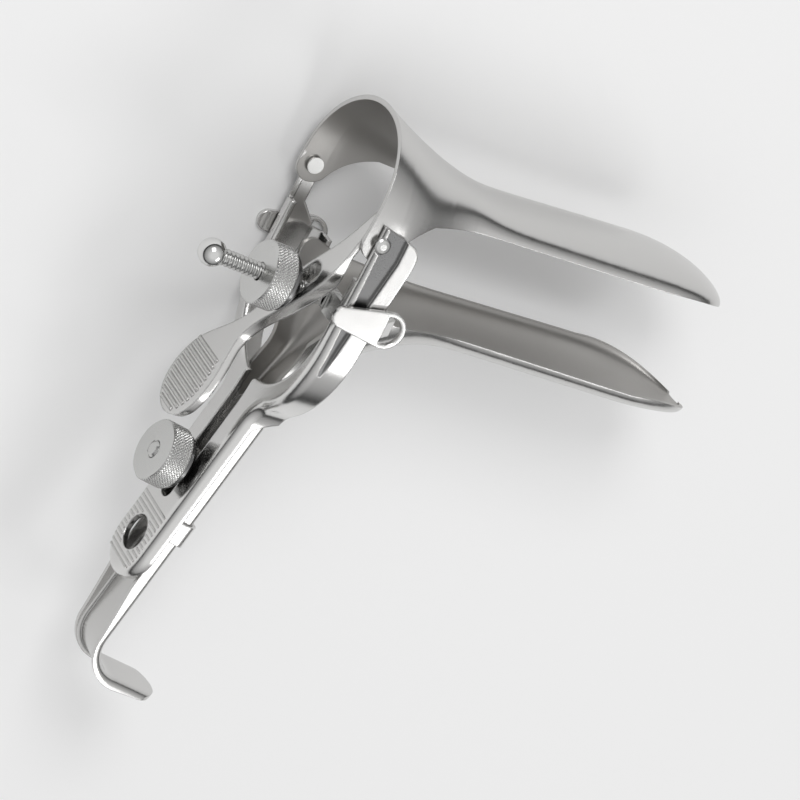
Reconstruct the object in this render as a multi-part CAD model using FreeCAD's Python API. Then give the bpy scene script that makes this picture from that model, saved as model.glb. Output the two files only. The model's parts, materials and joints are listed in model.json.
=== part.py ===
"""Bivalve speculum of the duckbill pattern: two spoon blades, a sliding yoke, a thumb lever and two nuts.

Working frame, in millimetres, used until the last step:
  x  distal, along the lower blade       y  from the handle towards the upper blade
  z  towards the user's right, which is up as the instrument lies on its left side
  origin  on the hinge line of the upper blade, in the middle between the two ears
The last step moves everything so that the origin is under the middle of the whole instrument.
"""
import FreeCAD, Part
import math
import os

V = FreeCAD.Vector

# Blades, pressed from one thickness of sheet
blade_sheet = 1.2
blade_base_half_width = 14.8      # half width where the blade leaves the bell
blade_wide_half_width = 17.8      # half width before the rounded tip
upper_depth = 5.6                 # from the edges to the back of the trough
lower_depth = 6.4
tip_length = 26.0                 # length of the rounded tip
tip_droop = 3.4                   # how far the tip falls below the line of the edges
upper_reach = 110.8               # hinge line to the tip of the upper blade
lower_reach = 116.0               # hinge line to the tip of the lower blade
upper_edge = 7.1                  # height of the upper blade's edges at the hinge line
upper_slope = 0.022               # rise of the upper blade for each unit of length
lower_edge = -19.7                # height of the lower blade's edges

# Bell at the base of the upper blade
bell_half_width = 23.4
bell_height = 28.6                # hinge line to the crown, at the rim
bell_rim = -4.5                   # rim at the level of the hinge line
bell_rim_top = -0.5               # rim at the crown
bell_length = 46.0                # over which the crown comes down to the blade
ear_flat = 2.0                    # the ears stay flat up to here
ear_narrowing = 27.0              # over which the sides draw in to the blade
ear_radius = 4.8

# Lower blade's heel and channel handle
handle_lean = 11.3                # degrees that the handle leans back
heel_radius = 36.0                # inner bend from blade to handle
heel_bulge = 9.2                  # how much the heel widens in the middle of the bend
heel_corner = 11.0                # how much the rounding between floor and wall grows there
heel_span = 0.8                   # share of the bend after which the handle's width is reached
heel_rise = 18.5                  # how much its walls rise there
handle_half_width = 8.0
handle_depth = 4.4
handle_corner = 2.2
handle_web = -15.8                # distal face of the channel, from the hinge line
hook_start = 125.3                # down the handle
hook_radius = 8.6
hook_depth = 2.6                  # of the channel at the bend
hook_turn = 90.0                  # degrees
hook_reach = 14.6
hook_tip_depth = 1.4

# Yoke, a pressed frame with two arms and a stem
yoke_sheet = 1.6
arm_wall = 2.0
arm_inside = 23.8                 # half distance between the arms
arm_face = -1.6                   # proximal face of the arms at the hinge line
arm_lean = 0.024                  # how much the arms' face falls back for each unit down
arm_top_near = 4.8                # at its face
arm_top_fall = 1.9                # how much lower it is at the groove's distal edge
arm_top_far = 4.6
arm_depth_top = 11.2              # width of the arm's side, from its face
arm_depth_foot = 9.6
shoulder_level = -28.0            # where the arms begin to draw in
shoulder_radius = 29.8
hip_radius = 9.0                  # hollow curve from the shoulders into the stem
edge_round = 2.6                  # rounding of the pressed edges
bend_half_length = 6.0            # the stem's face bends out of the arms' face over twice this
lip_round = 1.2                   # rounding of the ring opening's edge
opening_half_width = 21.2
opening_height = 24.4
opening_centre = -25.0
stem_half_width = 9.9
stem_face = -7.4                  # proximal face of the stem, from the hinge line
stem_depth = 3.6
stem_foot = 111.0                 # down the handle
skirt_foot = 58.0                 # down the handle, where the deep skirts end
slot_above = 30.5                 # the slot's ends, from the stud's axis at rest
slot_below = 9.5
groove_depth = 1.1
groove_start = 1.2                # from the arm's face
groove_end = 7.2
groove_middle = 5.4               # its distal edge at the keepers
groove_foot = -40.0
hole_down = 98.7                  # centre of the hanging hole, down the handle
hole_radius = 4.8

# Hinge rivets
rivet_radius = 1.5
rivet_head_radius = 2.1
rivet_head = 0.6
rivet_flat_radius = 2.2
rivet_flat = 0.7
running_clearance = 0.05
side_clearance = 0.25

# Keepers that hold the arms against the heel
keeper_sheet = 1.2
keeper_gap = 0.6
keeper_level = -18.9
keeper_back = -5.2
keeper_front = 14.8
keeper_back_radius = 2.7
keeper_front_radius = 4.8
keeper_rim = 1.1                  # round the opening in its distal end
keeper_tongue = 4.4               # width of the tongue that is bent in through that opening

# Lift stud, washer and nut on the handle
stud_down = 77.5
stud_radius = 2.15
nut_radius = 8.2
nut_height = 6.3
nut_chamfer = 0.5
washer_radius = 7.4
washer_height = 3.6
washer_rim = 1.0
washer_foot = 3.3                 # radius of the flat in the middle of its domed side
stud_proud = 0.4
slide_gap = 0.1                   # between the stem and the washer that it slides under
stud_foot_radius = 4.0

# Thumb lever
lever_sheet = 1.5
lever_skirt = 4.2
lever_offset = -4.3               # of the lever's face at the hinge line
lever_slope = 0.25                # how much the face comes back for each unit down
lever_pad_thick = 2.2
lever_top = 6.6                   # where its end is brazed inside the near ear
braze_gap = 0.2
lever_slot_half = 2.75
lever_slot_top = (-14.6, 14.3)    # (y, z) of the slot's ends
lever_slot_foot = (-25.2, 9.6)
lever_gap = 0.3                   # between the lever and the washer on the tilt screw

# Tilt screw
screw_z = 12.0
screw_angle = -4.3                # degrees, from the blade's direction
screw_radius = 2.15
screw_ball_x = -33.6
screw_ball_y = -18.2
ball_radius = 3.5
ball_seat = 1.0                   # the rod ends this far before the middle of the ball
screw_pivot_x = 1.2
eye_radius = 3.0
eye_width = 2.6
pin_radius = 1.0
bracket_sheet = 1.5
neck_length = 4.0                 # flattened part, from the pin
washer_stand = 0.9                # the tilt washer's middle stands off the lever, its dome touches aslant

# Guide band at the foot of the stem
running_side = 0.15
fixed_gap = 0.02                  # between pieces that are driven together
band_sheet = 0.9
band_down = 88.5
band_width = 6.0


def handle_point(down, out, z=0.0):
    """A point by its distance down the handle and out of it towards the user."""
    a = math.radians(handle_lean)
    return V(-math.sin(a) * down - math.cos(a) * out, -math.cos(a) * down + math.sin(a) * out, z)


handle_down = handle_point(1, 0)
handle_out = handle_point(0, 1)
lever_out = V(-1, lever_slope, 0).normalize()


def ease(t):
    """Smooth step from 0 to 1."""
    t = min(1.0, max(0.0, t))
    return t * t * (3 - 2 * t)


def mix(a, b, t):
    return a + (b - a) * t


def outline(*path):
    """Face from corner points; a pair of points stands for an arc through the first to the second."""
    edges = []
    here = path[0]
    for item in path[1:] + (path[0],):
        if isinstance(item, tuple):
            through, item = item
            edges.append(Part.Arc(here, through, item).toShape())
        elif (item - here).Length > 1e-6:
            edges.append(Part.LineSegment(here, item).toShape())
        here = item
    return Part.Face(Part.Wire(edges))


def eased_corner(before, corner, after, length):
    """Corner of an outline as an arc that leaves each edge at this length from the corner."""
    a = (before - corner).normalize()
    b = (after - corner).normalize()
    turn = math.pi - a.getAngle(b)
    middle = corner + (a + b).normalize() * (length * math.tan(turn / 4))
    return [corner + a * length, (middle, corner + b * length)]


def rounded(shape, radius, wanted):
    """The shape with a rounding along each edge whose middle and direction there pass the test."""
    chosen = []
    for edge in shape.Edges:
        half = (edge.FirstParameter + edge.LastParameter) / 2
        if wanted(edge.valueAt(half), edge.tangentAt(half)):
            chosen.append(edge)
    return shape.makeFillet(radius, chosen)


def side_prism(half_width, *path):
    """Solid with an outline in the xy plane, as thick as twice the half width."""
    down = V(0, 0, -half_width)
    flat = [tuple(p + down for p in item) if isinstance(item, tuple) else item + down for item in path]
    return outline(*flat).extrude(V(0, 0, 2 * half_width))


def front_prism(start, length, *path):
    """Solid with an outline in the yz plane, from x = start."""
    shift = V(start, 0, 0)
    flat = [tuple(p + shift for p in item) if isinstance(item, tuple) else item + shift for item in path]
    return outline(*flat).extrude(V(length, 0, 0))


def smooth_surface(rows):
    """Cubic surface drawn towards a grid of points, through its four corners."""
    def knots(count):
        inside = count - 4
        return [4] + [1] * inside + [4], list(range(inside + 2))

    surface = Part.BSplineSurface()
    u_repeats, u_knots = knots(len(rows))
    v_repeats, v_knots = knots(len(rows[0]))
    surface.buildFromPolesMultsKnots(rows, u_repeats, v_repeats, u_knots, v_knots, False, False, 3, 3)
    return surface


def patches(surface):
    """The surface in short lengths, because each length is meshed only as finely as its own bends need."""
    u0, u1, v0, v1 = surface.bounds()
    stations = list(range(0, int(u1), 2)) + [u1]
    faces = []
    for start, end in zip(stations, stations[1:]):
        length = surface.copy()
        length.segment(start, end, v0, v1)
        faces.append(length.toShape())
    return faces


def sheet_metal(rows, thickness):
    """Solid between the surface through a grid of points and its copy set in by the thickness."""
    inner = []
    last_row = len(rows) - 1
    for i, row in enumerate(rows):
        inner_row = []
        last = len(row) - 1
        for j, point in enumerate(row):
            along = rows[min(i + 1, last_row)][j] - rows[max(i - 1, 0)][j]
            across = row[min(j + 1, last)] - row[max(j - 1, 0)]
            normal = along.cross(across).normalize()
            inner_row.append(point + normal * thickness)
        inner.append(inner_row)
    outer, inner = smooth_surface(rows), smooth_surface(inner)
    faces = patches(outer) + patches(inner)
    u0, u1, v0, v1 = outer.bounds()
    iu0, iu1, iv0, iv1 = inner.bounds()
    pairs = [(outer.uIso(u0), inner.uIso(iu0)), (outer.uIso(u1), inner.uIso(iu1)),
             (outer.vIso(v0), inner.vIso(iv0)), (outer.vIso(v1), inner.vIso(iv1))]
    for a, b in pairs:
        faces.append(Part.makeRuledSurface(a.toShape(), b.toShape()))
    shell = Part.makeShell(faces)
    shell.sewShape()
    solid = Part.makeSolid(shell)
    if solid.Volume < 0:
        solid.reverse()
    return solid


def tip_rows(reach, edge_of, depth):
    """Rows of the rounded tip of either blade: place, half width, level of the edges, depth."""
    rows = []
    widest = reach - tip_length
    for degrees in (12, 26, 40, 54, 67, 78):
        a = math.radians(degrees)
        x = widest + tip_length * math.sin(a)
        half_width = blade_wide_half_width * math.cos(a)
        droop = tip_droop * math.sin(a) ** 3
        level = edge_of(x) - droop
        rows.append((x, half_width, level, depth * math.cos(a) ** 0.9))
    return rows


def arch(x, half_width, crown, spring, foot):
    """One row across the upper blade: a wall, the arch and the other wall."""
    row = [V(x, mix(foot, spring, k / 3.0), -half_width) for k in range(3)]
    for k in range(15):
        a = math.radians(-90 + 180 * k / 14.0)
        row.append(V(x, spring + (crown - spring) * math.cos(a), half_width * math.sin(a)))
    row += [V(x, mix(spring, foot, k / 3.0), half_width) for k in range(1, 4)]
    return row


def upper_edge_at(x):
    return upper_edge + upper_slope * x


def upper_blade():
    """Spoon blade, bell and the two hinge ears, pressed from one sheet."""
    rows = []
    widest = upper_reach - tip_length
    bell_crown = bell_height - upper_edge - upper_depth
    for x in (-9, -5, -1, 3, 7, 11, 15, 19, 23, 27, 32, 38, 46, 58, 72, widest):
        draw_in = ease((x - ear_flat) / ear_narrowing)
        straight = mix(blade_base_half_width, blade_wide_half_width, max(0, x - 15) / (widest - 15))
        half_width = mix(bell_half_width, straight, draw_in)
        fall = min(1.0, max(-0.1, (x - bell_rim) / bell_length))
        crown = upper_edge_at(x) + upper_depth + bell_crown * (1 - fall) ** 1.6
        spring = mix(5.0, upper_edge_at(x), draw_in)
        foot = mix(-8.0, upper_edge_at(x) - 4, draw_in)
        rows.append(arch(x, half_width, crown, spring, foot))
    for x, half_width, level, depth in tip_rows(upper_reach, upper_edge_at, upper_depth):
        rows.append(arch(x, half_width, level + depth, level, level - 4))
    sheet = sheet_metal(rows, blade_sheet)
    rim_foot = V(bell_rim, 0, 0)
    ear_side = math.radians(-38)
    ear_end = V(ear_radius * math.cos(ear_side), ear_radius * math.sin(ear_side), 0)
    ear_low = V(0, -ear_radius, 0)
    heel_edge = V(14.0, upper_edge_at(14) - 0.5, 0)
    tip = V(upper_reach, upper_edge_at(upper_reach) - tip_droop, 0)
    dip_start = V(widest, upper_edge_at(widest), 0)
    dip_middle = V(widest + 0.62 * tip_length, upper_edge_at(widest) - 0.18 * tip_droop, 0)
    trim = side_prism(
        40, V(bell_rim_top, bell_height + 20, 0), V(bell_rim_top, bell_height + 1, 0),
        (V(mix(bell_rim, bell_rim_top, 0.36), bell_height * 0.53, 0), rim_foot),
        (V(-3.2, -3.58, 0), ear_low),
        (V(2.6, -4.03, 0), ear_end),
        (V(7.6, 2.6, 0), heel_edge),
        V(30, upper_edge_at(30), 0), dip_start, (dip_middle, tip),
        V(upper_reach + 9, tip.y - 1, 0), V(upper_reach + 9, bell_height + 20, 0))
    blade = sheet.common(trim)
    for side in (-1, 1):
        hole = Part.makeCylinder(rivet_radius + running_clearance, 6, V(0, 0, side * bell_half_width), V(0, 0, side))
        hole.translate(V(0, 0, -side * 3))
        blade = blade.cut(hole)
    return blade


def heel_centre():
    """Centre of the bend that runs from the lower blade's floor into the handle's web."""
    lean = math.radians(handle_lean)
    level = lower_edge - lower_depth - heel_radius
    return V((heel_radius + level * math.sin(lean) - handle_web) / math.cos(lean), level, 0)


def trough_row(centre, up, half_width, corner_width, corner_height, height):
    """One row across the lower sheet: a wall, a rounded corner, the floor, a corner and a wall."""
    half = [(half_width, mix(height, corner_height, k / 3.0)) for k in range(3)]
    flat = half_width - corner_width
    for k in range(6):
        a = math.radians(15.0 * k)
        half.append((flat + corner_width * math.cos(a), corner_height * (1 - math.sin(a))))
    half.append((flat, 0))
    points = [(-z, h) for z, h in half] + [(0, 0)] + list(reversed(half))
    return [centre + up * h + V(0, 0, z) for z, h in points]


def hook_frame(degrees):
    """Direction down the handle and out of it, turned on by this much round the hook."""
    turn = FreeCAD.Rotation(V(0, 0, 1), degrees)
    return turn.multVec(handle_down), turn.multVec(handle_out)


hook_axis = handle_point(hook_start, handle_web - hook_radius)


def lower_rows():
    """Rows of the lower sheet, from the tip and round the heel to the start of the handle's channel."""
    rows = []
    up = V(0, 1, 0)
    for x, half_width, level, depth in reversed(tip_rows(lower_reach, lambda x: lower_edge, lower_depth)):
        rows.append(trough_row(V(x, level - depth, 0), up, half_width, 0.94 * half_width, depth, depth + 2))
    widest = lower_reach - tip_length
    floor = lower_edge - lower_depth
    centre = heel_centre()
    for x in (widest, 76, 62, 50, centre.x):
        half_width = mix(blade_base_half_width, blade_wide_half_width, (x - 15) / (widest - 15))
        rows.append(trough_row(V(x, floor, 0), up, half_width, 0.94 * half_width, lower_depth, lower_depth + 2))
    wide = half_width
    for k in range(1, 13):
        t = k / 12.0
        a = math.radians(t * (90 - handle_lean))
        up = V(-math.sin(a), math.cos(a), 0)
        bulge = math.sin(math.pi * min(1.0, t / heel_span) ** 1.15) ** 2
        half_width = mix(wide, handle_half_width, ease(t / heel_span)) + heel_bulge * bulge
        height = mix(lower_depth, handle_depth, ease(t)) + 2 + heel_rise * bulge
        corner_width = mix(0.94 * half_width, handle_corner, ease((t - 0.45) / 0.45))
        corner_height = mix(lower_depth, handle_corner, ease(t)) + heel_corner * bulge
        rows.append(trough_row(centre + up * heel_radius, up, half_width, corner_width, corner_height, height))
    for more in (2.0, 4.0):
        rows.append(trough_row(centre + up * heel_radius + handle_down * more, up, half_width, corner_width,
                               corner_height, height))
    return rows


def lower_blade():
    """Spoon blade, heel, channel handle and hook, pressed from one sheet."""
    sheet = sheet_metal(lower_rows(), blade_sheet)
    channel_start = handle_down.dot(heel_centre()) + 1.0
    widest = lower_reach - tip_length
    tip = V(lower_reach, lower_edge - tip_droop, 0)
    dip_start = V(widest, lower_edge, 0)
    dip_middle = V(widest + 0.62 * tip_length, lower_edge - 0.18 * tip_droop, 0)
    full, low = handle_web + handle_depth, handle_web + hook_depth
    ahead, over = hook_frame(hook_turn)
    halfway = hook_frame(hook_turn / 2)[1]
    corner = hook_axis + over * hook_radius
    end = corner + ahead * hook_reach
    trim = side_prism(
        40, V(lower_reach + 9, tip.y - 1, 0), tip, (dip_middle, dip_start),
        V(16, lower_edge, 0), V(8.5, lower_edge + 2.5, 0),
        (V(5.0, lower_edge + 1.2, 0), V(4.4, lower_edge - 3.5, 0)),
        (V(2.4, -34.5, 0), V(0.2, -46.0, 0)),
        handle_point(56, full), handle_point(hook_start - 16, full), handle_point(hook_start - 4, low + 0.4),
        handle_point(hook_start, low), (hook_axis + halfway * (hook_radius + hook_depth), corner + over * hook_depth),
        end + over * hook_tip_depth, end + ahead * 3 + over * hook_tip_depth, end + ahead * 3 - over * 4,
        V(40, -110, 0), V(lower_reach + 9, -60, 0))
    nose = handle_half_width + 0.5
    low_end = end - over * 3
    back = low_end - ahead * 0.85 * nose
    past = low_end + ahead * 4
    side = V(0, 0, nose)
    rounding = outline(back - side, (low_end, back + side), past + side, past - side).extrude(over * 12)
    beyond = side_prism(40, handle_point(channel_start, 30), handle_point(channel_start, -30),
                        handle_point(channel_start + 30, -30), handle_point(channel_start + 30, 30))
    sheet = sheet.cut(beyond)
    length = hook_start - channel_start
    section = min(sheet.Faces, key=lambda face: abs(handle_down.dot(face.CenterOfMass) - channel_start))
    channel = section.extrude(handle_down * length)
    section = section.translated(handle_down * length)
    hook = section.revolve(hook_axis, V(0, 0, 1), hook_turn)
    section.rotate(hook_axis, V(0, 0, 1), hook_turn)
    run = section.extrude(ahead * hook_reach)
    return sheet.fuse([channel, hook, run]).common(trim).cut(rounding)


def yoke_frame():
    """Two arms, shoulders and a slotted stem with an end pad, pressed from one sheet."""
    out = arm_inside + arm_wall

    def front(inset, foot):
        convex = shoulder_radius - inset
        hollow = hip_radius + inset
        centre = out - shoulder_radius
        hip = stem_half_width + hip_radius
        a = math.acos((hip - centre) / (convex + hollow))
        hip_level = shoulder_level - (convex + hollow) * math.sin(a)
        w = out - inset
        s = stem_half_width - inset
        low = foot + s

        def shoulder(angle, side):
            return V(0, shoulder_level - convex * math.sin(angle), side * (centre + convex * math.cos(angle)))

        def hip_curve(angle, side):
            return V(0, hip_level + hollow * math.sin(angle), side * (hip - hollow * math.cos(angle)))

        return (V(0, 12, w), shoulder(0, 1), (shoulder(a / 2, 1), shoulder(a, 1)),
                (hip_curve(a / 2, 1), hip_curve(0, 1)), V(0, low, s), (V(0, foot, 0), V(0, low, -s)),
                hip_curve(0, -1), (hip_curve(a / 2, -1), shoulder(a, -1)),
                (shoulder(a / 2, -1), shoulder(0, -1)), V(0, 12, -w))

    foot_level = handle_point(stem_foot, stem_face).y
    bend = handle_point(52, stem_face)
    face_top = V(arm_face + arm_lean * 12, 12, 0)
    flank = handle_point(skirt_foot + 1.0, stem_face - stem_depth)
    flank_foot = handle_point(stem_foot + 3, stem_face - stem_depth)
    face_foot = handle_point(stem_foot + 3, stem_face)
    arm_front = arm_face + arm_depth_top
    arm_edge = V(arm_face + arm_depth_foot - 1.6, -39.5, 0)
    skirt_edge = handle_point(skirt_foot - 3.5, handle_web - 0.4)
    side = [face_top] + eased_corner(face_top, bend, face_foot, bend_half_length) + [
            face_foot, flank_foot, flank,
            (handle_point(skirt_foot, stem_face - 4.6), skirt_edge),
            V(5.9, -49.5, 0), arm_edge, V(arm_front - 1.4, -14, 0), V(arm_front, -4, 0), V(arm_front, 12, 0)]
    body = front_prism(-60, 120, *front(0, foot_level)).common(side_prism(40, *side))


    def on_face(point):
        t = (bend.y - point.y) / (face_foot.y - bend.y)
        stem_x = bend.x - (face_foot.x - bend.x) * t
        return abs(point.x - min(arm_face + arm_lean * point.y, stem_x)) < 0.5

    body = rounded(body, edge_round, lambda point, way: on_face(point) and abs(way.z) < 0.999 or
                   on_face(point) and point.y < foot_level + 2)
    push = V(yoke_sheet, 0, 0)
    inner_side = eased_corner(face_top + push, bend + push, face_foot + push, bend_half_length)
    hollow_side = [face_top + push] + inner_side + [face_foot + push, V(40, face_foot.y, 0), V(40, 12, 0)]
    stem_inset = yoke_sheet
    hollow = front_prism(-60, 120, *front(stem_inset, foot_level + stem_inset))
    hollow = hollow.common(side_prism(40, *hollow_side))
    body = body.cut(hollow)
    oval = Part.Ellipse(V(0, 0, 0), opening_height, opening_half_width)
    oval_face = Part.Face(Part.Wire([oval.toShape()]))
    oval_face.rotate(V(0, 0, 0), V(0, 0, 1), 90)
    oval_face.rotate(V(0, 0, 0), V(0, 1, 0), 90)
    oval_face.translate(V(-30, opening_centre, 0))
    opening = oval_face.extrude(V(60, 0, 0))
    upper = Part.makeBox(60, 50, 2 * opening_half_width, V(-30, opening_centre, -opening_half_width))
    body = body.cut(opening).cut(upper)
    body = rounded(body, lip_round, lambda point, way: on_face(point) and abs(point.z) < opening_half_width + 0.1
                   and point.y > opening_centre - opening_height - 0.1 and point.y < 11)
    between = Part.makeBox(60, 40, 2 * arm_inside, V(-30, -10.5, -arm_inside))
    body = body.cut(between)
    near_top = Part.makeBox(60, 20, 10, V(-30, arm_top_near, arm_inside - 1))
    far_top = Part.makeBox(60, 20, 10, V(-30, arm_top_far, -arm_inside - 9))
    body = body.cut(near_top).cut(far_top)
    corner = side_prism(
        6, V(arm_face, 20, 0), V(arm_face, arm_top_near, 0),
        V(arm_face + groove_end, arm_top_near - arm_top_fall, 0),
        (V(arm_front - 1.4, 1.9, 0), V(arm_front, -1.5, 0)), V(arm_front, 20, 0))
    body = body.cut(corner.translated(V(0, 0, out)))
    tongue = side_prism(
        6, V(3.4, 20, 0), V(3.4, -10.4, 0), V(arm_front - 2.2, -14.6, 0), V(30, -14.6, 0), V(30, 20, 0))
    body = body.cut(tongue.translated(V(0, 0, -out)))
    strip = side_prism(
        groove_depth, V(arm_face + groove_start, 20, 0), V(arm_face + groove_start, groove_foot + 7, 0),
        V(arm_face + groove_start + 0.6, groove_foot, 0), V(arm_face + groove_middle, -14, 0),
        V(arm_face + groove_end, -3, 0), V(arm_face + groove_end, 20, 0))
    for level in (-out, out):
        body = body.cut(strip.translated(V(0, 0, level)))
    r = stud_radius + 0.45
    a = handle_point(stud_down - slot_above + r, stem_face - 8)
    b = handle_point(stud_down + slot_below - r, stem_face - 8)
    side_z = V(0, 0, r)
    slot = outline(a + side_z, b + side_z, (b + handle_down * r, b - side_z), a - side_z,
                   (a - handle_down * r, a + side_z)).extrude(handle_out * 16)
    body = body.cut(slot)
    hole = Part.makeCylinder(hole_radius, 16, handle_point(hole_down, stem_face - 8), handle_out)
    body = body.cut(hole)
    for z in (-1, 1):
        bore = Part.makeCylinder(rivet_radius, 8, V(0, 0, z * (arm_inside - 2)), V(0, 0, z))
        seat = Part.makeCylinder(rivet_head_radius + 0.1, 4, V(0, 0, z * (out - groove_depth)), V(0, 0, z))
        body = body.cut(bore).cut(seat)
    return body


def guide_band():
    """Band at the foot of the stem that wraps the handle and keeps the yoke on it."""
    w = handle_half_width + running_side
    o = w + band_sheet
    inner = handle_web - running_side
    outer = inner - band_sheet
    top = stem_face - stem_depth + 1.0
    down = band_down

    def p(out, z):
        return handle_point(down, out, z)

    small = handle_corner + running_side
    big = small + band_sheet
    k = 1 - math.sqrt(0.5)
    face = outline(p(top, -o), p(outer + big, -o), (p(outer + k * big, -o + k * big), p(outer, -o + big)),
                   p(outer, o - big), (p(outer + k * big, o - k * big), p(outer + big, o)), p(top, o),
                   p(top, w), p(inner + small, w), (p(inner + k * small, w - k * small), p(inner, w - small)),
                   p(inner, -w + small), (p(inner + k * small, -w + k * small), p(inner + small, -w)), p(top, -w))
    return face.extrude(handle_down * band_width)


def rivet(side):
    """Hinge rivet through an arm and an ear: a domed head outside and a small flat one inside."""
    inner = bell_half_width - blade_sheet - side_clearance
    outer = arm_inside + arm_wall
    r = rivet_radius
    flat = rivet_flat_radius
    big = rivet_head_radius
    low = rivet_flat
    dome = outer - groove_depth - inner + low
    top = dome + rivet_head
    shoulder = (big * 0.78, dome + rivet_head * 0.6)
    solid = turned([(0, 0), (flat, 0), (flat, low), (r, low), (r, dome), (big, dome), shoulder,
                    (big * 0.4, top), (0, top)],
                   V(0, 0, inner - low), V(0, 0, 1))
    if side < 0:
        solid = solid.mirror(V(0, 0, 0), V(0, 0, 1))
    return solid


def egg(inset, height):
    """Face of two circles and the tangents between them, drawn in by the inset: the keeper's plate."""
    back = V(keeper_back + keeper_back_radius, keeper_level, height)
    front = V(keeper_front - keeper_front_radius, keeper_level, height)
    small, big = keeper_back_radius - inset, keeper_front_radius - inset
    sine = (big - small) / (front - back).Length
    cosine = math.sqrt(1 - sine ** 2)

    def touch(centre, radius, side):
        return centre + V(-sine, side * cosine, 0) * radius

    return outline(touch(back, small, 1), touch(front, big, 1), (front + V(big, 0, 0), touch(front, big, -1)),
                   touch(back, small, -1), (back - V(small, 0, 0), touch(back, small, 1)))


def keeper(side, heel):
    """Plate round the outside of an arm; its tongue is bent in to the side of the heel and brazed there."""
    inside = arm_inside + arm_wall + keeper_gap
    outside = inside + keeper_sheet
    middle = keeper_front - keeper_front_radius
    plate = egg(0, inside).extrude(V(0, 0, keeper_sheet))
    window = egg(keeper_rim, inside - 1).extrude(V(0, 0, keeper_sheet + 2))
    window = window.common(Part.makeBox(20, 40, 40, V(middle - 1.0, keeper_level - 20, 0)))
    root = middle - 1.0
    landing = root + 3.6
    level = keeper_level - keeper_tongue / 2
    wall = heel.common(Part.makeBox(keeper_sheet, keeper_tongue, inside, V(landing - keeper_sheet, level, 0)))
    reach = max(vertex.Z for vertex in wall.Vertexes) - blade_sheet
    tongue = Part.Face(Part.makePolygon([
        V(root - 0.5, level, inside), V(root - 0.5, level, outside), V(root, level, outside),
        V(landing, level, outside - 3.0), V(landing, level, reach), V(landing - keeper_sheet, level, reach),
        V(landing - keeper_sheet, level, inside - 2.5), V(root - 0.5, level, inside)]))
    tongue = tongue.extrude(V(0, keeper_tongue, 0))
    piece = plate.cut(window).fuse(tongue).removeSplitter()
    if side < 0:
        piece = piece.mirror(V(0, 0, 0), V(0, 0, 1))
    parts = piece.cut(heel).Solids
    return max(parts, key=lambda solid: solid.Volume)


def turned(profile, base, axis):
    """Solid of revolution: radius and height pairs, standing on base along axis; a pair of pairs is an arc."""
    start = V(1, 0, 0) if abs(axis.x) < 0.9 else V(0, 1, 0)
    across = axis.cross(start).normalize()

    def at(pair):
        return base + across * pair[0] + axis * pair[1]

    flat = [tuple(at(p) for p in item) if isinstance(item[0], tuple) else at(item) for item in profile]
    return outline(*flat).revolve(base, axis, 360)


def nut(base, axis):
    """Round nut, plain: its knurl is a finish."""
    bore = screw_radius + running_clearance
    r = nut_radius
    c = nut_chamfer
    h = nut_height
    return turned([(bore, 0), (r - c, 0), (r, c), (r, h - c), (r - c, h), (bore, h)], base, axis)


def washer(base, axis):
    """Washer with a domed underside, which lets the screw stand at an angle."""
    bore = screw_radius + running_clearance
    h = washer_height
    rim = h - washer_rim
    middle = (mix(washer_foot, washer_radius, 0.55), rim * 0.32)
    return turned([(bore, 0), (washer_foot, 0), middle, (washer_radius, rim), (washer_radius, h), (bore, h)],
                  base, axis)


def lift_stud():
    """Stud fixed in the handle's web, with a broad foot in the channel."""
    foot = handle_web + blade_sheet
    top = stem_face + slide_gap + washer_height + nut_height + stud_proud
    r = screw_radius
    profile = [(0, 0), (stud_foot_radius, 0), (stud_foot_radius, 1.6), (r, 1.6), (r, top - foot - 0.5),
               (r - 0.5, top - foot), (0, top - foot)]
    return turned(profile, handle_point(stud_down, foot), handle_out)


def lever_face(inset):
    """Outline of the lever in the yz plane, drawn in by this much: a narrow top, a waist and a thumb pad."""
    plan = [(10.6, 21.4), (5.0, 19.3), (-3.8, 16.2), (-17.0, 8.9), (-30.0, 4.9), (-38.5, -0.4), (-45.7, -6.8),
            (-54.0, -9.5), (-61.5, -6.9), (-64.6, 0.4), (-61.0, 7.8), (-53.5, 9.8), (-46.0, 8.6), (-39.0, 6.9),
            (-30.0, 10.6), (-20.5, 17.3), (-11.0, 21.4), (-3.0, 22.1), (5.0, 22.15)]
    points = [V(-50, y, z) for y, z in plan]
    inner = []
    for i, point in enumerate(points):
        along = (points[(i + 1) % len(points)] - points[i - 1]).normalize()
        inner.append(point + along.cross(V(1, 0, 0)) * inset)
    curve = Part.BSplineCurve()
    curve.interpolate(inner, PeriodicFlag=True)
    first, last = curve.FirstParameter, curve.LastParameter
    half = mix(first, last, 0.5)
    return Part.Face(Part.Wire([curve.toShape(first, half), curve.toShape(half, last)]))


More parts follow.
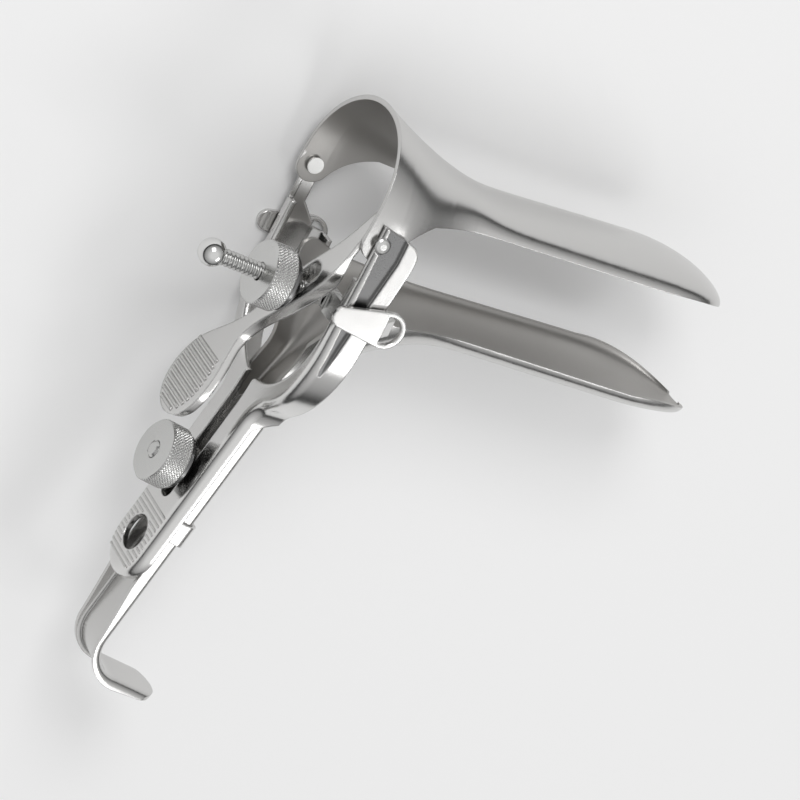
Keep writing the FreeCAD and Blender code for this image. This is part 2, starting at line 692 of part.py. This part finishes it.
def thumb_lever():
    """Pressed lever with turned-down edges, a slot for the tilt screw and a solid ribbed pad."""
    def at(y, depth):
        return V(lever_offset + lever_slope * y + depth * math.sqrt(1 + lever_slope ** 2), y, 0)

    body = lever_face(0).extrude(V(100, 0, 0)).common(side_prism(
        60, at(30, 0), at(30, lever_sheet), at(-6, lever_sheet), at(-15, lever_skirt), at(-28, lever_skirt),
        at(-42, lever_pad_thick), at(-80, lever_pad_thick), at(-80, 0)))
    hollow = lever_face(lever_sheet).extrude(V(100, 0, 0)).common(side_prism(
        60, at(30, lever_sheet), at(30, 30), at(-40, 30), at(-42, lever_pad_thick), at(-38, lever_sheet)))
    body = body.cut(hollow)
    r = lever_slot_half
    top = V(-30, lever_slot_top[0], lever_slot_top[1])
    foot = V(-30, lever_slot_foot[0], lever_slot_foot[1])
    along = (foot - top).normalize()
    side = V(1, 0, 0).cross(along)
    slot = outline(top + side * r, (top - along * r, top - side * r), foot - side * r,
                   (foot + along * r, foot + side * r))
    body = body.cut(slot.extrude(V(60, 0, 0)))
    beside = Part.makeBox(60, 60, 20, V(-30, -8, bell_half_width - blade_sheet - braze_gap))
    above = Part.makeBox(60, 60, 60, V(-30, lever_top, 0))
    return body.cut([beside, above])


screw_way = V(-math.cos(math.radians(screw_angle)), -math.sin(math.radians(screw_angle)), 0)
screw_ball = V(screw_ball_x, screw_ball_y, screw_z)
screw_pivot = screw_ball - screw_way * ((screw_ball_x - screw_pivot_x) / screw_way.x)


def lever_crossing():
    """Distance from the screw's hinge pin to the lever's face, along the screw."""
    start = screw_pivot.x - lever_slope * screw_pivot.y - lever_offset
    return -start / (screw_way.x - lever_slope * screw_way.y)


def tilt_screw():
    """Screw with a flattened eye on its hinge pin."""
    length = (screw_ball - screw_pivot).Length
    rod = Part.makeCylinder(screw_radius, length - neck_length - ball_seat, screw_pivot + screw_way * neck_length, screw_way)
    eye = Part.makeCylinder(eye_radius, eye_width, screw_pivot - V(0, 0, eye_width / 2))
    lift = V(0, 0, eye_width)
    across = V(0, 0, 1).cross(screw_way)
    low = screw_pivot - V(0, 0, eye_width / 2)
    half = screw_radius * 0.93
    reach = neck_length + 0.6
    neck = outline(low + across * half, low + across * half + screw_way * reach, low - across * half + screw_way * reach,
                   low - across * half).extrude(lift)
    bore = Part.makeCylinder(pin_radius + running_clearance, 10, screw_pivot - V(0, 0, 5))
    return rod.fuse([eye, neck]).cut(bore).removeSplitter()


def ball_end():
    """Ball driven on the end of the screw, so that the nut can't come off."""
    r = screw_radius + fixed_gap
    low = -math.sqrt(ball_radius ** 2 - r ** 2)
    tip = 0.3
    top = math.sqrt(ball_radius ** 2 - tip ** 2)
    seat = fixed_gap - ball_seat
    return turned([(0, seat), (r, seat), (r, low), ((ball_radius, 0), (tip, top)), (0, top)],
                  screw_ball, screw_way)


def bracket():
    """Lug for the tilt screw: a foot brazed behind the near arm's face and a plate beside the eye."""
    back = arm_face + arm_lean * screw_pivot.y + yoke_sheet
    inner = screw_z + eye_width / 2 + running_side
    r = eye_radius
    x, y = screw_pivot.x, screw_pivot.y
    plate = outline(V(back, y - r, inner), V(x, y - r, inner), (V(x + r, y, inner), V(x, y + r, inner)),
                    V(back, y + r, inner)).extrude(V(0, 0, bracket_sheet))
    foot = Part.makeBox(bracket_sheet, 2 * r, arm_inside - 0.2 - inner, V(back + 0.02, y - r, inner))
    foot.rotate(V(back, y, 0), V(0, 0, 1), -math.degrees(math.atan(arm_lean)))
    bore = Part.makeCylinder(pin_radius, 12, V(x, y, screw_z - 4))
    return plate.fuse(foot).cut(bore).removeSplitter()


def pin():
    """Hinge pin of the tilt screw, headed on the eye's open side."""
    low = screw_z - eye_width / 2 - running_side
    top = screw_z + eye_width / 2 + running_side + bracket_sheet + 0.5
    profile = [(0, 0), (pin_radius + 0.7, 0), (pin_radius + 0.7, 0.7), (pin_radius, 0.7),
               (pin_radius, top - low + 0.7), (0, top - low + 0.7)]
    return turned(profile, V(screw_pivot.x, screw_pivot.y, low - 0.7), V(0, 0, 1))


nodes = {}
nodes["lower_blade"] = lower_blade()
nodes["upper_blade"] = upper_blade()
nodes["yoke_frame"] = yoke_frame().fuse(guide_band()).removeSplitter()
nodes["hinge_rivet_near"] = rivet(1)
nodes["hinge_rivet_far"] = rivet(-1)
nodes["keeper_near"] = keeper(1, nodes["lower_blade"])
nodes["keeper_far"] = keeper(-1, nodes["lower_blade"])
nodes["lift_stud"] = lift_stud()
nodes["lift_washer"] = washer(handle_point(stud_down, stem_face + slide_gap), handle_out)
nodes["lift_nut"] = nut(handle_point(stud_down, stem_face + slide_gap + washer_height), handle_out)
nodes["thumb_lever"] = thumb_lever()
nodes["tilt_screw"] = tilt_screw()
nodes["tilt_screw_ball"] = ball_end()
seat = lever_crossing() + washer_stand
nodes["tilt_washer"] = washer(screw_pivot + screw_way * seat, screw_way)
nodes["tilt_nut"] = nut(screw_pivot + screw_way * (seat + washer_height), screw_way)
nodes["tilt_screw_bracket"] = bracket()
nodes["tilt_screw_pin"] = pin()

points = [point for shape in nodes.values() for point in shape.tessellate(0.05)[0]]
low = V(*[min(point[k] for point in points) for k in range(3)])
high = V(*[max(point[k] for point in points) for k in range(3)])
origin = V((low.x + high.x) / 2, (low.y + high.y) / 2, low.z)
print("origin", [round(v, 3) for v in origin], "whole", [round(v, 2) for v in high - low])

os.makedirs("parts", exist_ok=True)
for name, shape in nodes.items():
    shape = shape.translated(-origin)
    shape.exportStep("parts/%s.step" % name)
    print(name, "valid", shape.isValid(), "solids", len(shape.Solids), "volume", round(shape.Volume, 1))
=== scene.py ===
# %% [markdown]
# # A bivalve speculum in polished steel
#
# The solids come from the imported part. This lesson adds what the eye needs on top of them: the knurl of
# the two nuts, the coarse thread of the tilt screw, the ribs of the two pads, the
# steel itself, a pale studio and the photograph's camera.

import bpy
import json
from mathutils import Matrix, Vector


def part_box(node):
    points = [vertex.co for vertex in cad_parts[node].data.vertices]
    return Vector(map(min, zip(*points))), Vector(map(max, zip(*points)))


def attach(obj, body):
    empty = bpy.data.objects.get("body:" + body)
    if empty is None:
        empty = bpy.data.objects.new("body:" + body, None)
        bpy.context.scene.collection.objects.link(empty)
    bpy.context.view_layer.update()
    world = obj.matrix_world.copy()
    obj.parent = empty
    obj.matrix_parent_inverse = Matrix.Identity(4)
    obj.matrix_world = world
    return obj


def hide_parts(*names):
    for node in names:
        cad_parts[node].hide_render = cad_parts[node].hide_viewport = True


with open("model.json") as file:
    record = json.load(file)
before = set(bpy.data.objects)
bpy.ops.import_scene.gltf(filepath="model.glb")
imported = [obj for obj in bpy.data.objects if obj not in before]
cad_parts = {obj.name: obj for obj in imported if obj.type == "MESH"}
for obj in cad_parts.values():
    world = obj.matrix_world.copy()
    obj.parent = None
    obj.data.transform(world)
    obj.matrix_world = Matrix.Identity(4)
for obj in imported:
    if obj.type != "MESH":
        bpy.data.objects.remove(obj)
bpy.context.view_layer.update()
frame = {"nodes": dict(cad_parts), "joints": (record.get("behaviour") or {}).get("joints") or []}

import json
import math

import bmesh
import bpy
from mathutils import Matrix, Vector

# %% [markdown]
# ## One way to name a place
#
# Sizes are easiest to think of in millimetres from the hinge line of the upper blade, so `place` turns
# such a point into the part's own frame. The handle leans back from the blades, and `on_handle` gives a
# point by its distance down the handle and out of it, towards the user.

# %%
MM = 0.001
joints = {joint["name"]: joint for joint in frame["joints"]}
hinge = Vector(joints["blade_tilt"]["pos_m"])
handle_up = Vector(joints["yoke_slide"]["axis"]).normalized()
handle_down = -handle_up
handle_out = Vector(joints["lift_nut_spin"]["axis"]).normalized()
screw_way = Vector(joints["washer_travel"]["axis"]).normalized()
screw_pin = Vector(joints["screw_swing"]["pos_m"])


def place(x, y, z):
    return hinge + Vector((x, y, z)) * MM


def on_handle(down, out, z=0.0):
    return hinge + (handle_down * down + handle_out * out + Vector((0, 0, z))) * MM


print("hinge line at", hinge)
print("handle leans", round(math.degrees(math.atan2(-handle_down.x, -handle_down.y)), 1), "degrees")

# %% [markdown]
# ## Steel that has been handled
#
# Every piece is stainless steel, and only the polish differs, except three darker colours that are painted
# shade and painted dark reflection:
# the blades' hollow sides, the arms' grooves and the two washers. One shader group makes the shared wear: a
# fine grain that breaks up the gloss, and broad soft patches where fingers and cloths have been.

# %%
PATCH_SCALE = 55.0
PATCH_SHARE = 0.14
GRAIN_SCALE = 2600.0


def group_socket(group, name, way, kind, value=None):
    socket = group.interface.new_socket(name=name, in_out=way, socket_type=kind)
    if value is not None:
        socket.default_value = value


wear = bpy.data.node_groups.new("handled_steel", "ShaderNodeTree")
group_socket(wear, "Grain", "INPUT", "NodeSocketFloat", 0.1)
group_socket(wear, "Roughness", "INPUT", "NodeSocketFloat", 0.2)
group_socket(wear, "Roughness", "OUTPUT", "NodeSocketFloat")
group_socket(wear, "Height", "OUTPUT", "NodeSocketFloat")
n = wear.nodes
link = wear.links.new
entry = n.new("NodeGroupInput")
leave = n.new("NodeGroupOutput")
where = n.new("ShaderNodeTexCoord")
patches = n.new("ShaderNodeTexNoise")
patches.inputs["Scale"].default_value = PATCH_SCALE
patches.inputs["Detail"].default_value = 3.0
grain = n.new("ShaderNodeTexNoise")
grain.inputs["Scale"].default_value = GRAIN_SCALE
grain.inputs["Detail"].default_value = 2.0
spread = n.new("ShaderNodeMath")
spread.operation = "MULTIPLY_ADD"
spread.inputs[1].default_value = PATCH_SHARE
rough = n.new("ShaderNodeMath")
rough.operation = "MULTIPLY_ADD"
centre = n.new("ShaderNodeMath")
centre.operation = "SUBTRACT"
centre.inputs[1].default_value = PATCH_SHARE / 2
link(where.outputs["Object"], patches.inputs["Vector"])
link(where.outputs["Object"], grain.inputs["Vector"])
link(patches.outputs["Fac"], spread.inputs[0])
link(entry.outputs["Roughness"], spread.inputs[2])
link(grain.outputs["Fac"], rough.inputs[0])
link(entry.outputs["Grain"], rough.inputs[1])
link(spread.outputs[0], rough.inputs[2])
link(rough.outputs[0], centre.inputs[0])
link(centre.outputs[0], leave.inputs["Roughness"])
link(grain.outputs["Fac"], leave.inputs["Height"])
print("shader group:", wear.name)


# %% [markdown]
# A steel takes its colour, its roughness, the depth of its grain and the radius to which its edges look
# rounded. The rounding is only in the shading, so the solids keep their sharp corners.

# %%
BEVEL_SAMPLES = 6
GRAIN_HEIGHT = 0.0002


def steel(name, colour, roughness, grain_share=0.06, edge=0.35, bump=0.02):
    material = bpy.data.materials.new(name)
    material.use_nodes = True
    nodes = material.node_tree.nodes
    join = material.node_tree.links.new
    shader = nodes["Principled BSDF"]
    shader.inputs["Base Color"].default_value = (*colour, 1)
    shader.inputs["Metallic"].default_value = 1.0
    use = nodes.new("ShaderNodeGroup")
    use.node_tree = wear
    use.inputs["Roughness"].default_value = roughness
    use.inputs["Grain"].default_value = grain_share
    bevel = nodes.new("ShaderNodeBevel")
    bevel.samples = BEVEL_SAMPLES
    bevel.inputs["Radius"].default_value = edge * MM
    relief = nodes.new("ShaderNodeBump")
    relief.inputs["Strength"].default_value = bump
    relief.inputs["Distance"].default_value = GRAIN_HEIGHT
    join(use.outputs["Roughness"], shader.inputs["Roughness"])
    join(use.outputs["Height"], relief.inputs["Height"])
    join(bevel.outputs["Normal"], relief.inputs["Normal"])
    join(relief.outputs["Normal"], shader.inputs["Normal"])
    return material


outside_steel = steel("polished blade", (0.60, 0.595, 0.585), 0.2, edge=0.3)
# painted shade: the satin inside takes a darker colour that stands for the shade in the blades' hollows; its
# higher roughness is the real satin finish
satin_painted_shade_steel = steel("satin inside with painted shade", (0.45, 0.44, 0.425), 0.36, grain_share=0.12, edge=0.3)
frame_steel = steel("polished frame", (0.72, 0.715, 0.705), 0.15, edge=0.7)
lever_steel = steel("polished lever", (0.68, 0.675, 0.665), 0.11, edge=1.1)
# painted dark reflection: the arms' grooves are coloured near black instead of mirroring something dark
groove_painted_reflection = steel("groove painted dark reflection", (0.16, 0.16, 0.16), 0.25, edge=0.1)
turned_steel = steel("turned steel", (0.62, 0.62, 0.61), 0.22, edge=0.12)
thread_steel = steel("thread steel", (0.52, 0.52, 0.51), 0.24, edge=0.05)
ball_steel = steel("bright steel", (0.70, 0.70, 0.69), 0.1, edge=0.1)
# painted shade and painted dark reflection: the washers are coloured near black for the shade under the nuts
washer_painted_shade_steel = steel("washer painted shade", (0.20, 0.20, 0.20), 0.2, edge=0.3)
print("materials:", [material.name for material in bpy.data.materials])

# %% [markdown]
# ## The pieces that keep their solid
#
# The blades, the yoke, the keepers, the rivets and the small turned pieces are shown as they come, with
# smooth shading across their curved faces and a crease where two faces meet.

# %%
piece_materials = {
    "lower_blade": outside_steel,
    "upper_blade": outside_steel,
    "yoke_frame": frame_steel,
    "thumb_lever": lever_steel,
    "keeper_near": frame_steel,
    "keeper_far": frame_steel,
    # the two washers take the near-black colour that is painted shade and painted dark reflection
    "lift_washer": washer_painted_shade_steel,
    "tilt_washer": washer_painted_shade_steel,
    "tilt_screw_ball": ball_steel,
}
bpy.ops.object.select_all(action="DESELECT")
for name, node in frame["nodes"].items():
    node.data.materials.clear()
    node.data.materials.append(piece_materials.get(name, turned_steel))
    node.select_set(True)
    bpy.context.view_layer.objects.active = node
bpy.ops.object.shade_smooth_by_angle(angle=math.radians(32))
print("pieces:", len(frame["nodes"]))


# %% [markdown]
# The hollow side of each blade is satin and the outer side is polished, and the hollow side's darker colour
# is painted shade. A face belongs to the hollow side when it looks towards the line down the middle of the
# blades. The long grooves of the two arms are the faces that lie a little below the arms' outer faces, and
# their near-black colour is a painted dark reflection.

# %%
ARM_OUTER = 25.8
GROOVE_DEPTH = 1.1
BELL_BACK = -4
HANDLE_TOP = -58
FACING = 0.2
UPPER_MIDDLE = 2.0
LOWER_MIDDLE = -12.0


def paint(node, second, wanted):
    """Give the faces that pass the test a second material, which here is painted darker: painted shade on
    the blades' hollow sides and a painted dark reflection in the arms' grooves.
    """
    mesh = frame["nodes"][node].data
    mesh.materials.append(second)
    count = 0
    for polygon in mesh.polygons:
        if wanted((polygon.center - hinge) / MM, polygon.normal):
            polygon.material_index = 1
            count += 1
    print(node, "faces with", second.name, count)


def looks_in(level):
    def test(centre, normal):
        if centre.x < BELL_BACK or centre.y < HANDLE_TOP:
            return False
        return normal.dot(Vector((0, level - centre.y, -centre.z))) > FACING
    return test


def in_groove(centre, normal):
    return abs(normal.z) > 0.98 and abs(abs(centre.z) - (ARM_OUTER - GROOVE_DEPTH)) < 0.05


# painted shade: the hollow sides of both blades get the darker satin colour
paint("upper_blade", satin_painted_shade_steel, looks_in(UPPER_MIDDLE))
paint("lower_blade", satin_painted_shade_steel, looks_in(LOWER_MIDDLE))
# painted dark reflection: the grooves of the arms get the near-black colour
paint("yoke_frame", groove_painted_reflection, in_groove)

# %% [markdown]
# ## Turning and wrapping
#
# Two small tools make the new pieces. `turned` spins a profile of radius and height pairs about an
# axis, and lets a function press a pattern into it. `new_piece` turns a mesh into a piece that rides on
# its body.

# %%
def new_piece(name, vertices, faces, material, body, replaced=(), crease=35):
    mesh = bpy.data.meshes.new(name)
    mesh.from_pydata([tuple(v) for v in vertices], [], faces)
    mesh.update()
    piece = bpy.data.objects.new(name, mesh)
    bpy.context.scene.collection.objects.link(piece)
    fix = bmesh.new()
    fix.from_mesh(mesh)
    bmesh.ops.remove_doubles(fix, verts=fix.verts, dist=1e-7)
    bmesh.ops.recalc_face_normals(fix, faces=fix.faces)
    fix.to_mesh(mesh)
    fix.free()
    piece.data.materials.append(material)
    bpy.ops.object.select_all(action="DESELECT")
    piece.select_set(True)
    bpy.context.view_layer.objects.active = piece
    bpy.ops.object.shade_smooth_by_angle(angle=math.radians(crease))
    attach(piece, body)
    if replaced:
        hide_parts(*replaced)
    return piece


def turned(profile, base, axis, steps, press=None):
    """Vertices and faces of a profile of (radius, height) pairs in millimetres, spun about an axis."""
    side = axis.cross(Vector((0, 0, 1)))
    if side.length < 0.1:
        side = axis.cross(Vector((0, 1, 0)))
    side.normalize()
    other = axis.cross(side)
    vertices = []
    for radius, height in profile:
        for k in range(steps):
            angle = 2 * math.pi * k / steps
            r = radius if press is None else press(radius, height, angle)
            around = side * math.cos(angle) + other * math.sin(angle)
            vertices.append(base + around * r * MM + axis * height * MM)
    faces = []
    for i in range(len(profile) - 1):
        for k in range(steps):
            nxt = (k + 1) % steps
            faces.append((i * steps + k, i * steps + nxt, (i + 1) * steps + nxt, (i + 1) * steps + k))
    return vertices, faces


print("tools ready")

# %% [markdown]
# ## The two knurled nuts
#
# A straight diamond knurl is two sets of grooves that cross. Where either groove runs, the rim is pressed
# in. The faces of the nut stay smooth, with a small chamfer outside the knurl.

# %%
NUT_RADIUS = 8.2
NUT_HEIGHT = 6.3
NUT_CHAMFER = 0.5
BORE = 2.2
KNURL_DEPTH = 0.3
KNURL_COUNT = 58
KNURL_ROWS = 56
KNURL_SHARPNESS = 2.2
STEPS_PER_KNURL = 8
RIM_STEP = 0.25
RIM_BEND = 0.6
BORE_CHAMFER = 0.3
STUD_DOWN = 77.5


def knurl(radius, height, angle):
    if radius < NUT_RADIUS - 0.05:
        return radius
    turn = angle / (2 * math.pi) * KNURL_COUNT
    rise = height / (2 * math.pi * NUT_RADIUS / KNURL_COUNT)
    one = abs((turn + rise) % 1.0 - 0.5) * 2
    two = abs((turn - rise) % 1.0 - 0.5) * 2
    groove = max(0.0, 1 - KNURL_SHARPNESS * min(1 - one, 1 - two))
    return radius - KNURL_DEPTH * groove


def nut_profile():
    low, high = NUT_CHAMFER, NUT_HEIGHT - NUT_CHAMFER
    rim = [(NUT_RADIUS, low + (high - low) * k / KNURL_ROWS) for k in range(KNURL_ROWS + 1)]
    back = [(BORE, 0.0), (NUT_RADIUS - NUT_CHAMFER, 0.0), (NUT_RADIUS - RIM_STEP, low * RIM_BEND)]
    front = [(NUT_RADIUS - RIM_STEP, NUT_HEIGHT - low * RIM_BEND), (NUT_RADIUS - NUT_CHAMFER, NUT_HEIGHT),
             (BORE + BORE_CHAMFER, NUT_HEIGHT), (BORE, NUT_HEIGHT - BORE_CHAMFER), (BORE, 0.0)]
    return back + rim + front


def seat_of(node, axis, base):
    """How far along an axis a node starts, in millimetres."""
    lengths = [(v.co - base).dot(axis) for v in frame["nodes"][node].data.vertices]
    return min(lengths) / MM


for node, body, base, axis in (("tilt_nut", "tilt_knob", screw_pin, screw_way),
                               ("lift_nut", "lift_knob", on_handle(STUD_DOWN, 0), handle_out)):
    start = base + axis * seat_of(node, axis, base) * MM
    vertices, faces = turned(nut_profile(), start, axis, KNURL_COUNT * STEPS_PER_KNURL, knurl)
    new_piece(node + "_knurled", vertices, faces, turned_steel, body, (node,))
    print(node, "starts", round(seat_of(node, axis, base), 2), "mm along its axis")

# %% [markdown]
# ## The tilt screw
#
# The screw is made anew: an eye on the hinge pin, a flattened neck and one long helix with rounded crests.

# %%
SCREW_RADIUS = 2.15
PITCH = 1.25
THREAD_DEPTH = 0.45
EYE_RADIUS = 3.0
EYE_WIDTH = 2.6
EYE_BORE = 1.05
NECK = 4.0
NECK_SHARE = 0.9
NECK_INTO_EYE = 0.7
NECK_INTO_ROD = 0.6
BALL_SEAT = 1.0
CREST_POWER = 1.3
ROWS_PER_PITCH = 14
ROD_STEPS = 40
EYE_STEPS = 48


def thread(radius, height, angle):
    if radius < SCREW_RADIUS - 0.01:
        return radius
    phase = (height / PITCH - angle / (2 * math.pi)) % 1.0
    return radius - THREAD_DEPTH * (0.5 + 0.5 * math.cos(2 * math.pi * phase)) ** CREST_POWER


def rod_profile(length):
    steps = int(length / PITCH * ROWS_PER_PITCH)
    rod = [(SCREW_RADIUS, length * k / steps) for k in range(steps + 1)]
    return [(0.001, 0.0)] + rod + [(0.001, length)]


def join(*meshes):
    vertices, faces = [], []
    for more_vertices, more_faces in meshes:
        shift = len(vertices)
        vertices += more_vertices
        faces += [tuple(index + shift for index in face) for face in more_faces]
    return vertices, faces


def block(centre, half_x, half_y, half_z):
    """Vertices and faces of a box from its centre and three half edges, in the part's own lengths."""
    sides = (-1, 1)
    vertices = [centre + half_x * a + half_y * b + half_z * c for a in sides for b in sides for c in sides]
    faces = [(0, 1, 3, 2), (4, 6, 7, 5), (0, 4, 5, 1), (2, 3, 7, 6), (0, 2, 6, 4), (1, 5, 7, 3)]
    return vertices, faces


up_z = Vector((0, 0, 1))
ball_low, ball_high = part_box("tilt_screw_ball")
ball_reach = ((Vector(ball_low) + Vector(ball_high)) / 2 - screw_pin).dot(screw_way) / MM
rod_length = ball_reach - BALL_SEAT - NECK
ring = [(EYE_BORE, 0), (EYE_RADIUS, 0), (EYE_RADIUS, EYE_WIDTH), (EYE_BORE, EYE_WIDTH), (EYE_BORE, 0)]
eye = turned(ring, screw_pin - up_z * EYE_WIDTH / 2 * MM, up_z, EYE_STEPS)
neck_from = EYE_RADIUS - NECK_INTO_EYE
neck_middle = screw_pin + screw_way * (neck_from + NECK + NECK_INTO_ROD) / 2 * MM
neck = block(neck_middle, screw_way * (NECK + NECK_INTO_ROD - neck_from) / 2 * MM,
             up_z.cross(screw_way) * SCREW_RADIUS * NECK_SHARE * MM, up_z * EYE_WIDTH / 2 * MM)
rod = turned(rod_profile(rod_length), screw_pin + screw_way * NECK * MM, screw_way, ROD_STEPS, thread)
vertices, faces = join(eye, neck, rod)
new_piece("threaded_tilt_screw", vertices, faces, thread_steel, "tilt_rod", ("tilt_screw",))
print("thread:", PITCH, "mm pitch over", round(rod_length, 1), "mm")

# %% [markdown]
# ## Ribs for the fingers
#
# The thumb pad has sharp ribs straight across it. The pad at the foot of the stem has finer ones on both
# sides of the hanging hole. Each rib is a small ridge with a triangular section.

# %%
LEVER_OFFSET = -4.3
LEVER_SLOPE = 0.25
PAD_RIBS = 11
PAD_RIB_PITCH = 1.62
PAD_FIRST = -46.6
PAD_RIB_HEIGHT = 0.6
PAD_RIB_WIDTH = 1.35
PAD_MIDDLE = -54.0
PAD_HALF_LENGTH = 10.9
PAD_HALF_WIDTH = 9.6
PAD_SHIFT = 0.2
NECK_STRETCH = 0.72
FAR_MARGIN = 0.7
NEAR_MARGIN = 2.4
STEM_FACE = -7.4
STEM_HALF = 9.9
STEM_FOOT = 111.0
HOLE_DOWN = 98.7
HOLE_RADIUS = 4.8
EDGE_ROUND = 2.6
STEM_RIBS = 13
STEM_RIB_PITCH = 1.35
STEM_RIB_WIDTH = 0.75
STEM_RIB_HEIGHT = 0.28
STEM_RIBS_FROM = 8.8
RIB_ONTO_ROUND = 0.4
HOLE_MARGIN = 0.5
SHORTEST_RIB = 1.0
SINK = 0.05


def ridge(start, end, out, across, width, height):
    """A ridge between two points: triangular, with short slopes at its ends."""
    along = (end - start).normalized()
    top_a, top_b = start + along * height + out * height, end - along * height + out * height
    side = across * (width / 2)
    sink = out * SINK
    vertices = [start - side - sink, start + side - sink, end + side - sink, end - side - sink, top_a, top_b]
    vertices = [hinge + vertex * MM for vertex in vertices]
    faces = [(0, 3, 2, 1), (1, 2, 5, 4), (3, 0, 4, 5), (0, 1, 4), (2, 3, 5)]
    return vertices, faces


def pad_edges(y):
    """Both edges of the thumb pad across a level, from the pad's round shape."""
    share = (y - PAD_MIDDLE) / PAD_HALF_LENGTH
    if share > 0:
        share = share * NECK_STRETCH
    reach = PAD_HALF_WIDTH * math.sqrt(max(0.05, 1 - share ** 2))
    return PAD_SHIFT - reach, PAD_SHIFT + reach


lever_normal = Vector((-1, LEVER_SLOPE, 0)).normalized()
lever_along = Vector((LEVER_SLOPE, 1, 0)).normalized()
ribs = []
for k in range(PAD_RIBS):
    y = PAD_FIRST - k * PAD_RIB_PITCH
    low, high = pad_edges(y)
    face_point = Vector((LEVER_OFFSET + LEVER_SLOPE * y, y, 0))
    start, end = face_point + up_z * (low + FAR_MARGIN), face_point + up_z * (high - NEAR_MARGIN)
    ribs.append(ridge(start, end, lever_normal, lever_along, PAD_RIB_WIDTH, PAD_RIB_HEIGHT))
vertices, faces = join(*ribs)
new_piece("thumb_pad_ribs", vertices, faces, lever_steel, "upper", crease=20)

ribs = []
for k in range(STEM_RIBS):
    down = HOLE_DOWN - STEM_RIBS_FROM + k * STEM_RIB_PITCH
    past = max(0.0, down - (STEM_FOOT - STEM_HALF))
    half = min(math.sqrt(STEM_HALF ** 2 - past ** 2), STEM_HALF) - EDGE_ROUND + RIB_ONTO_ROUND
    gap = math.sqrt(max(0.0, (HOLE_RADIUS + HOLE_MARGIN) ** 2 - (down - HOLE_DOWN) ** 2))
    middle = handle_down * down + handle_out * STEM_FACE
    spans = [(-half, -gap), (gap, half)] if gap > 0.3 else [(-half, half)]
    for low, high in spans:
        if high - low > SHORTEST_RIB:
            start, end = middle + up_z * low, middle + up_z * high
            ribs.append(ridge(start, end, handle_out, handle_down, STEM_RIB_WIDTH, STEM_RIB_HEIGHT))
vertices, faces = join(*ribs)
new_piece("stem_pad_ribs", vertices, faces, frame_steel, "yoke", crease=20)
print("ribs on the thumb pad:", PAD_RIBS, "and on the stem's pad:", STEM_RIBS)

# %% [markdown]
# ## Studio
#
# The instrument lies on pale paper. Steel only looks like steel when it has something to mirror, so the
# room round it goes from a dark horizon to a bright ceiling, and two soft lamps hang above.

# %%
floor_material = bpy.data.materials.new("paper")
floor_material.use_nodes = True
paper = floor_material.node_tree.nodes["Principled BSDF"]
paper.inputs["Base Color"].default_value = (0.93, 0.93, 0.93, 1)
paper.inputs["Roughness"].default_value = 0.9
paper.inputs["Specular IOR Level"].default_value = 0.1
PAPER_SIZE = 3.0
bpy.ops.mesh.primitive_plane_add(size=PAPER_SIZE, location=(0, 0, 0))
floor = bpy.context.object
floor.name = "paper_floor"
floor.data.materials.append(floor_material)

world = bpy.context.scene.world or bpy.data.worlds.new("studio")
bpy.context.scene.world = world
world.use_nodes = True
room = world.node_tree.nodes
wire = world.node_tree.links.new
room.clear()
grey = room.new("ShaderNodeBackground")
grey.inputs["Strength"].default_value = 0.9
sky = room.new("ShaderNodeTexCoord")
apart = room.new("ShaderNodeSeparateXYZ")
ramp = room.new("ShaderNodeValToRGB")
ramp.color_ramp.elements[0].position = 0.5
ramp.color_ramp.elements[0].color = (0.02, 0.02, 0.02, 1)
ramp.color_ramp.elements[1].position = 0.95
ramp.color_ramp.elements[1].color = (0.95, 0.95, 0.95, 1)
for position, value in ((0.56, 0.05), (0.66, 0.42), (0.8, 0.62)):
    stop = ramp.color_ramp.elements.new(position)
    stop.color = (value, value, value, 1)
rescale = room.new("ShaderNodeMath")
rescale.operation = "MULTIPLY_ADD"
rescale.inputs[1].default_value = 0.5
rescale.inputs[2].default_value = 0.5
out = room.new("ShaderNodeOutputWorld")
wire(sky.outputs["Generated"], apart.inputs[0])
wire(apart.outputs["Z"], rescale.inputs[0])
wire(rescale.outputs[0], ramp.inputs["Fac"])
wire(ramp.outputs["Color"], grey.inputs["Color"])
wire(grey.outputs[0], out.inputs["Surface"])


def softbox(name, position, aim, size, power):
    light = bpy.data.lights.new(name, "AREA")
    light.shape = "RECTANGLE"
    light.size, light.size_y = size
    light.energy = power
    lamp = bpy.data.objects.new(name, light)
    bpy.context.scene.collection.objects.link(lamp)
    lamp.location = position
    lamp.rotation_euler = (Vector(aim) - Vector(position)).to_track_quat("-Z", "Y").to_euler()


softbox("key", (-0.35, 0.75, 0.8), (0, 0, 0.03), (0.45, 0.45), 3.6)
softbox("side", (0.65, -0.4, 0.85), (0, 0, 0.03), (0.5, 0.3), 1.8)
print("lights:", [light.name for light in bpy.data.lights])

# %% [markdown]
# ## Camera
#
# The camera was worked out from the photograph: the hinge line, the two blades' edges, the bell's rim and
# the handle are all symmetric about the instrument's middle plane, and only one view makes them so.

# %%
CAMERA = (-401.54, 211.75, 689.77)
LOOK = Vector((0.5142, -0.2992, -0.8038))
IMAGE_UP = Vector((-0.2418, 0.8485, -0.4706))
FOCAL_PIXELS = 3408.9
IMAGE_SIZE = 800
SENSOR = 36.0

lens = bpy.data.cameras.new("photo")
lens.sensor_width = SENSOR
lens.lens = FOCAL_PIXELS / IMAGE_SIZE * SENSOR
lens.clip_start = 0.01
camera = bpy.data.objects.new("photo", lens)
bpy.context.scene.collection.objects.link(camera)
back = -LOOK.normalized()
right = IMAGE_UP.cross(back).normalized()
up = back.cross(right)
camera.matrix_world = Matrix.Translation(place(*CAMERA)) @ Matrix((right, up, back)).transposed().to_4x4()
scene = bpy.context.scene
scene.camera = camera
scene.view_settings.view_transform = "Standard"
print("lens", round(lens.lens, 1), "mm")
